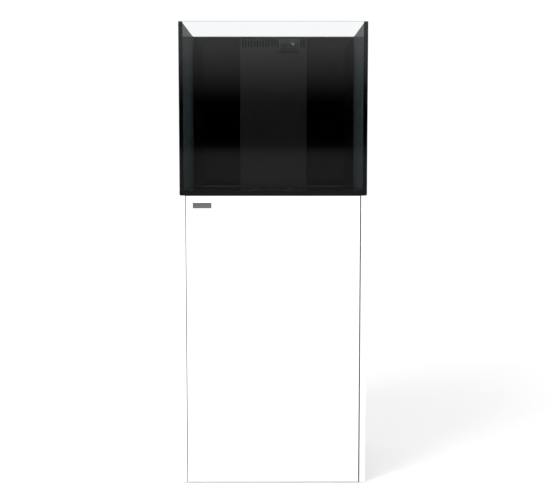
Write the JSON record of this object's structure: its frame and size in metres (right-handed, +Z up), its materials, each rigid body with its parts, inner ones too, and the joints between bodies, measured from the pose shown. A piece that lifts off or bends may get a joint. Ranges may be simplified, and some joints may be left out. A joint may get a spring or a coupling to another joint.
{
  "type": "aquarium on stand",
  "caption": "Rimless glass aquarium with a black back and a rear overflow box, standing on a white handle-less cabinet that hides a sump, pump and top-up reservoir.",
  "frame": {"origin": "middle of the footprint on the floor, under the glides", "axes": "+Z up, +X to the right of someone facing the door, the door faces -Y"},
  "size_m": [0.6, 0.5, 1.492],
  "materials": {
    "white_laminate": "smooth white melamine-faced board, satin",
    "clear_glass": "polished float glass",
    "black_silicone": "satin cured silicone",
    "black_film": "matte black film",
    "black_foam": "closed-cell foam",
    "black_acrylic": "black cast acrylic",
    "black_plastic": "moulded black plastic",
    "grey_plastic": "grey moulded pipe",
    "black_rubber": "matte",
    "steel": "nickel-plated steel",
    "badge_grey": "plain satin grey",
    "white_plastic": "moulded translucent white",
    "clear_rubber": "soft",
    "red_plastic": "moulded"
  },
  "bodies": {
    "stand_and_tank": {"cabinet_left_side": "white_laminate", "cabinet_right_side": "white_laminate", "cabinet_base": "white_laminate", "cabinet_top": "white_laminate", "cabinet_back": "white_laminate", "cable_grommets": "black_plastic", "front_top_rail": "white_laminate", "glides": "black_plastic", "angle_brackets": "steel", "bracket_screws": "steel", "door_stops": "clear_rubber", "hinge_plates": "steel", "hinge_arms": "steel", "hinge_screws": "steel", "latch_body": "black_plastic", "latch_spring": "steel", "levelling_mat": "black_foam", "tank_bottom_pane": "clear_glass", "tank_front_pane": "clear_glass", "tank_back_pane": "clear_glass", "tank_left_pane": "clear_glass", "tank_right_pane": "clear_glass", "silicone_seams": "black_silicone", "tank_back_film": "black_film", "overflow_box": "black_acrylic", "bulkheads": "grey_plastic", "bulkhead_nuts": "grey_plastic", "bulkhead_gaskets": "black_rubber", "drain_standpipe": "grey_plastic", "emergency_standpipe": "grey_plastic", "return_riser": "grey_plastic", "drain_pipes": "grey_plastic", "emergency_pipe": "grey_plastic", "return_pipe": "grey_plastic", "nozzle_socket": "black_plastic", "drain_valve_body": "grey_plastic", "sump_mat": "black_foam", "sump_panes": "clear_glass", "sump_baffles": "clear_glass", "filter_holder": "white_plastic", "pump_body": "black_plastic", "pump_intake_cover": "black_plastic", "pump_feet": "black_rubber", "reservoir": "white_plastic", "float_valve_body": "grey_plastic"},
    "door": {"door": "white_laminate", "door_badge": "badge_grey", "hinge_cups": "steel", "hinge_pins": "steel", "cup_screws": "steel", "strike_plate": "steel"},
    "latch_plunger": {"latch_plunger": "white_plastic"},
    "overflow_comb": {"overflow_comb": "black_acrylic"},
    "overflow_lid": {"overflow_lid": "black_acrylic"},
    "return_nozzle": {"return_nozzle": "black_plastic"},
    "valve_knob": {"valve_knob": "red_plastic"},
    "pump_impeller": {"pump_impeller": "black_plastic"},
    "filter_cup": {"filter_cup": "white_plastic"},
    "reservoir_lid": {"reservoir_lid": "white_plastic"},
    "float_arm": {"float_arm": "white_plastic"}
  },
  "joints": [
    {"name": "door_hinge", "type": "hinge", "parent": "stand_and_tank", "child": "door", "pos_m": [0.25875, -0.241, 0.4715], "axis": [0, 0, 1], "range_deg": [0, 92]},
    {"name": "latch_press", "type": "slide", "parent": "stand_and_tank", "child": "latch_plunger", "axis": [0, 1, 0], "range_m": [0, 0.003], "stiffness_N_per_m": 300, "springref_m": -0.003},
    {"name": "comb_lift", "type": "slide", "parent": "stand_and_tank", "child": "overflow_comb", "axis": [0, 0, 1], "range_m": [0, 0.06]},
    {"name": "lid_lift", "type": "slide", "parent": "overflow_comb", "child": "overflow_lid", "axis": [0, 0, 1], "range_m": [0, 0.04]},
    {"name": "nozzle_swivel", "type": "hinge", "parent": "stand_and_tank", "child": "return_nozzle", "pos_m": [0.056, 0.126, 1.451], "axis": [0, 0, 1], "range_deg": [-20, 20]},
    {"name": "valve_turn", "type": "hinge", "parent": "stand_and_tank", "child": "valve_knob", "pos_m": [-0.062, 0.181, 0.79], "axis": [0, 1, 0], "range_deg": [0, 90]},
    {"name": "impeller_spin", "type": "hinge", "parent": "stand_and_tank", "child": "pump_impeller", "pos_m": [0.056, 0.181, 0.073], "axis": [0, 1, 0], "continuous": true},
    {"name": "cup_lift", "type": "slide", "parent": "stand_and_tank", "child": "filter_cup", "axis": [0, 0, 1], "range_m": [0, 0.095]},
    {"name": "reservoir_lid_lift", "type": "slide", "parent": "stand_and_tank", "child": "reservoir_lid", "axis": [0, 0, 1], "range_m": [0, 0.06]},
    {"name": "float_swing", "type": "hinge", "parent": "stand_and_tank", "child": "float_arm", "pos_m": [0.088, 0.055, 0.248], "axis": [1, 0, 0], "range_deg": [-30, 0]}
  ]
}
